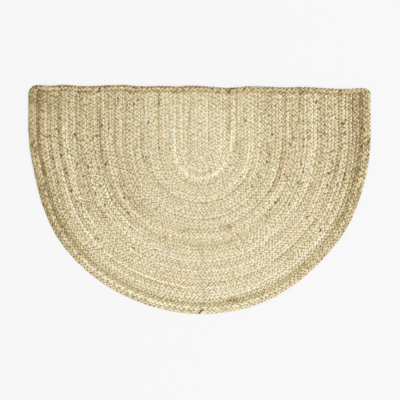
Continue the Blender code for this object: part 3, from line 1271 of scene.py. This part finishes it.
def braid_round(edge_round, stand, stitch, growth, sizes):
    """The strands of one of the edge's rounds, tilted as its stand says along the straight edge."""
    rng = np.random.default_rng(stand.seed)
    route, turned = round_route(edge_round)
    marks = np.concatenate([[0.0], np.cumsum(np.hypot(*np.diff(route, axis=0).T))])
    cycle = 3 * stitch
    points, along = resampled(route, cycle / sizes.steps_per_cycle)
    points = softened(points, passes=4)
    turned = np.interp(along, marks, turned)
    height = sizes.strand_height * (growth + EDGE_THICKENING)
    lift = (FIELD_TOP - sizes.strand_height) / 2 * growth
    sink = TUCK_DEPTH * ramp(along - along[-1], *TUCK_FALL)
    tones, hues = row_runs(NO_ROW, points, along, rng, strength=1.0)
    braid = Braid(
        points=points,
        along=along,
        cycle=cycle,
        turns=stitch_turns(along, cycle, rng),
        reach=sizes.reach * growth * (1 - STRAIGHT_SLIMMING * turned),
        lift=lift,
        tilt=turned * stand.tilt,
        middle=lift + height / 2 + EDGE_CLEARANCE + turned * stand.rise - sink,
        width=sizes.strand_width * growth,
        height=height,
        lane_tones=tones + tan_at(points, stand.tones),
        lane_hues=hues + stand.hue * turned,
        uneven=EDGE_UNEVENNESS * field_strength(points),
        crease=EDGE_CREASE + stand.crease * turned,
        outer_seam=stand.outer_seam,
        inner_seam=SNUG_SEAM,
    )
    return braid_strands(braid, sizes.sides, rng)


def sewing_core(sides):
    """The flat packing of fibre that the edge's two rounds are sewn to, hidden between them."""
    route, _ = round_route(CORE_ROUND)
    points, _ = resampled(route, step=0.010)
    left = np.column_stack([leftward(points), np.zeros(len(points))])
    angles = np.arange(sides) / sides * TURN
    rings = np.column_stack([points, np.full(len(points), CORE_HEIGHT)])[:, None, :]
    rings = rings + left[:, None, :] * (np.cos(angles) * CORE_HALF_WIDTH)[None, :, None]
    rings = rings + UP * (np.sin(angles) * CORE_HALF_THICKNESS)[None, :, None]
    plain = np.zeros(rings.shape[:2])
    return Strand(rings=rings, fibre=rings, tone=plain + 1.2, hue=plain, open_face=plain + 0.3)


class DOORMAT_OT_edge_braid(bpy.types.Operator):
    """Braids the edge's two rounds, flat on the curve, the outer one on its side along the straight edge"""

    bl_idname = "doormat.edge_braid"
    bl_label = "Braid the Edge"

    def execute(self, context):
        sizes = context.scene.braid_sizes
        strands = braid_round(OUTER_ROUND, OUTER_STAND, sizes.long_stitch, 1.0, sizes)
        strands += braid_round(INNER_ROUND, INNER_STAND, sizes.edge_stitch, sizes.edge_growth, sizes)
        strands.append(sewing_core(sizes.sides))
        piece = strands_object("edge_binding", strands, jute_material("edge jute", streak=1.7, crevice=0.82))
        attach(piece, "root")
        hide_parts("edge_braid")
        return {"FINISHED"}


class GroundLine(NamedTuple):
    """One line along the ground: how far across its row it runs, and its top's and underside's heights."""

    across: float
    top: float
    foot: float


SEAM_LINE = GroundLine(across=0.0, top=0.0048, foot=0.0022)
ROW_LINE = GroundLine(across=0.5, top=0.0038, foot=0.0030)
RIM_LINE = GroundLine(across=0.0, top=0.0036, foot=0.0030)


def ground_surfaces():
    """The ground's top and underside, each as rows of points along its lines."""
    lines = []
    for row in range(ROW_COUNT):
        lines += [((row + line.across) / ROW_COUNT, line) for line in (SEAM_LINE, ROW_LINE)]
    lines += [(1.0, SEAM_LINE), (GROUND_END, RIM_LINE)]
    top, foot = [], []
    for share, line in lines:
        route = row_route(max(share, 0.0005))[::GROUND_EVERY]
        top.append([(x, y, line.top) for x, y in route])
        foot.append([(x, y, line.foot) for x, y in route])
    return np.array(top), np.array(foot)


def ground_faces(rows, columns):
    """The faces that close a sheet whose top and underside are both grids of rows and columns of points."""
    under = rows * columns
    faces = []
    for row in range(rows - 1):
        for column in range(columns - 1):
            a = row * columns + column
            b, c, d = a + 1, a + columns + 1, a + columns
            faces.append((a, b, c, d))
            faces.append((under + a, under + d, under + c, under + b))
    rim = [row * columns for row in range(rows)]
    rim += [(rows - 1) * columns + column for column in range(1, columns)]
    rim += [row * columns + columns - 1 for row in range(rows - 2, -1, -1)]
    rim += list(range(columns - 2, 0, -1))
    for a, b in zip(rim, rim[1:] + rim[:1]):
        faces.append((b, a, under + a, under + b))
    return faces


class DOORMAT_OT_ground(bpy.types.Operator):
    """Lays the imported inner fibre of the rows, a thin ribbed sheet between the strands"""

    bl_idname = "doormat.ground"
    bl_label = "Lay the Row Ground"

    def execute(self, context):
        top, foot = ground_surfaces()
        points = np.concatenate([top.reshape(-1, 3), foot.reshape(-1, 3)])
        mesh = bpy.data.meshes.new("field_ground")
        mesh.from_pydata(points.tolist(), [], ground_faces(*top.shape[:2]))
        mesh.validate()
        # The ground shows only in the gaps between strands: its extra tone, deeper towards the lively sides,
        # and its low open_face are painted shade there
        tone = tan_at(points, FIELD_TONES) + 0.3 + GROUND_SHADE * (field_strength(points) - 0.5)
        plain = np.zeros(len(points))
        give_jute(mesh, tone, plain - 0.2, plain + 0.35, points, field_material())
        piece = placed("field_ground", mesh)
        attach(piece, "root")
        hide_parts("braided_field")
        return {"FINISHED"}


def table_finish(look):
    """The plain pale table, lit from below."""
    finish = bpy.data.materials.new("floor")
    finish.use_nodes = True
    shader = finish.node_tree.nodes["Principled BSDF"]
    shader.inputs["Base Color"].default_value = (*look.floor, 1.0)
    shader.inputs["Roughness"].default_value = 0.9
    shader.inputs["Specular IOR Level"].default_value = 0.0
    shader.inputs["Emission Color"].default_value = (1.0, 1.0, 1.0, 1.0)
    shader.inputs["Emission Strength"].default_value = look.table_glow
    return finish


class DOORMAT_OT_stage(bpy.types.Operator):
    """Sets the floor, the lights and the camera straight above the mat"""

    bl_idname = "doormat.stage"
    bl_label = "Set the Stage"

    def execute(self, context):
        look = context.scene.stage_look
        mesh = bpy.data.meshes.new("floor")
        corners = [(x * FLOOR_HALF, y * FLOOR_HALF, 0) for x, y in ((-1, -1), (1, -1), (1, 1), (-1, 1))]
        mesh.from_pydata(corners, [], [(0, 1, 2, 3)])
        mesh.materials.append(table_finish(look))
        floor = placed("floor", mesh)
        floor.location.z = -FLOOR_DROP

        world = bpy.data.worlds.new("studio")
        world.use_nodes = True
        background = world.node_tree.nodes["Background"]
        background.inputs["Color"].default_value = (1.0, 1.0, 1.0, 1.0)
        background.inputs["Strength"].default_value = look.ambient
        context.scene.world = world

        light = bpy.data.lights.new("key", "AREA")
        light.energy = look.key
        light.shape = "RECTANGLE"
        light.size, light.size_y = KEY_SIZE
        key = placed("key", light)
        key.location = KEY_PLACE
        key.rotation_euler = [math.radians(deg) for deg in KEY_TURN_DEG]

        lens = bpy.data.cameras.new("camera")
        lens.lens = LENS
        lens.sensor_width = SENSOR
        camera = placed("camera", lens)
        camera.location = (*VIEW_MIDDLE, look.view_width * LENS / SENSOR)
        context.scene.camera = camera
        context.scene.view_settings.view_transform = "Standard"
        return {"FINISHED"}


class DOORMAT_PT_panel(bpy.types.Panel):
    """Lists the mat's building steps and sizes"""

    bl_idname = "DOORMAT_PT_panel"
    bl_label = "Braided Jute Doormat"
    bl_space_type = "VIEW_3D"
    bl_region_type = "UI"
    bl_category = "Doormat"

    def draw(self, context):
        layout = self.layout
        for group in (context.scene.braid_sizes, context.scene.jute_colours, context.scene.stage_look):
            column = layout.column()
            for key in group.__annotations__:
                column.prop(group, key)
        for operator in OPERATORS:
            layout.operator(operator.bl_idname)


OPERATORS = (DOORMAT_OT_field_rows, DOORMAT_OT_edge_braid, DOORMAT_OT_ground, DOORMAT_OT_stage)
GROUPS = {"braid_sizes": BraidSizes, "jute_colours": JuteColours, "stage_look": StageLook}


def register():
    for group in GROUPS.values():
        bpy.utils.register_class(group)
    for operator in (*OPERATORS, DOORMAT_PT_panel):
        bpy.utils.register_class(operator)
    for name, group in GROUPS.items():
        setattr(bpy.types.Scene, name, bpy.props.PointerProperty(type=group))


def unregister():
    for name in GROUPS:
        delattr(bpy.types.Scene, name)
    for operator in (DOORMAT_PT_panel, *reversed(OPERATORS)):
        bpy.utils.unregister_class(operator)
    for group in GROUPS.values():
        bpy.utils.unregister_class(group)


def main():
    register()
    bpy.ops.doormat.stage()
    bpy.ops.doormat.field_rows()
    bpy.ops.doormat.edge_braid()
    bpy.ops.doormat.ground()


if __name__ == "__main__":
    main()
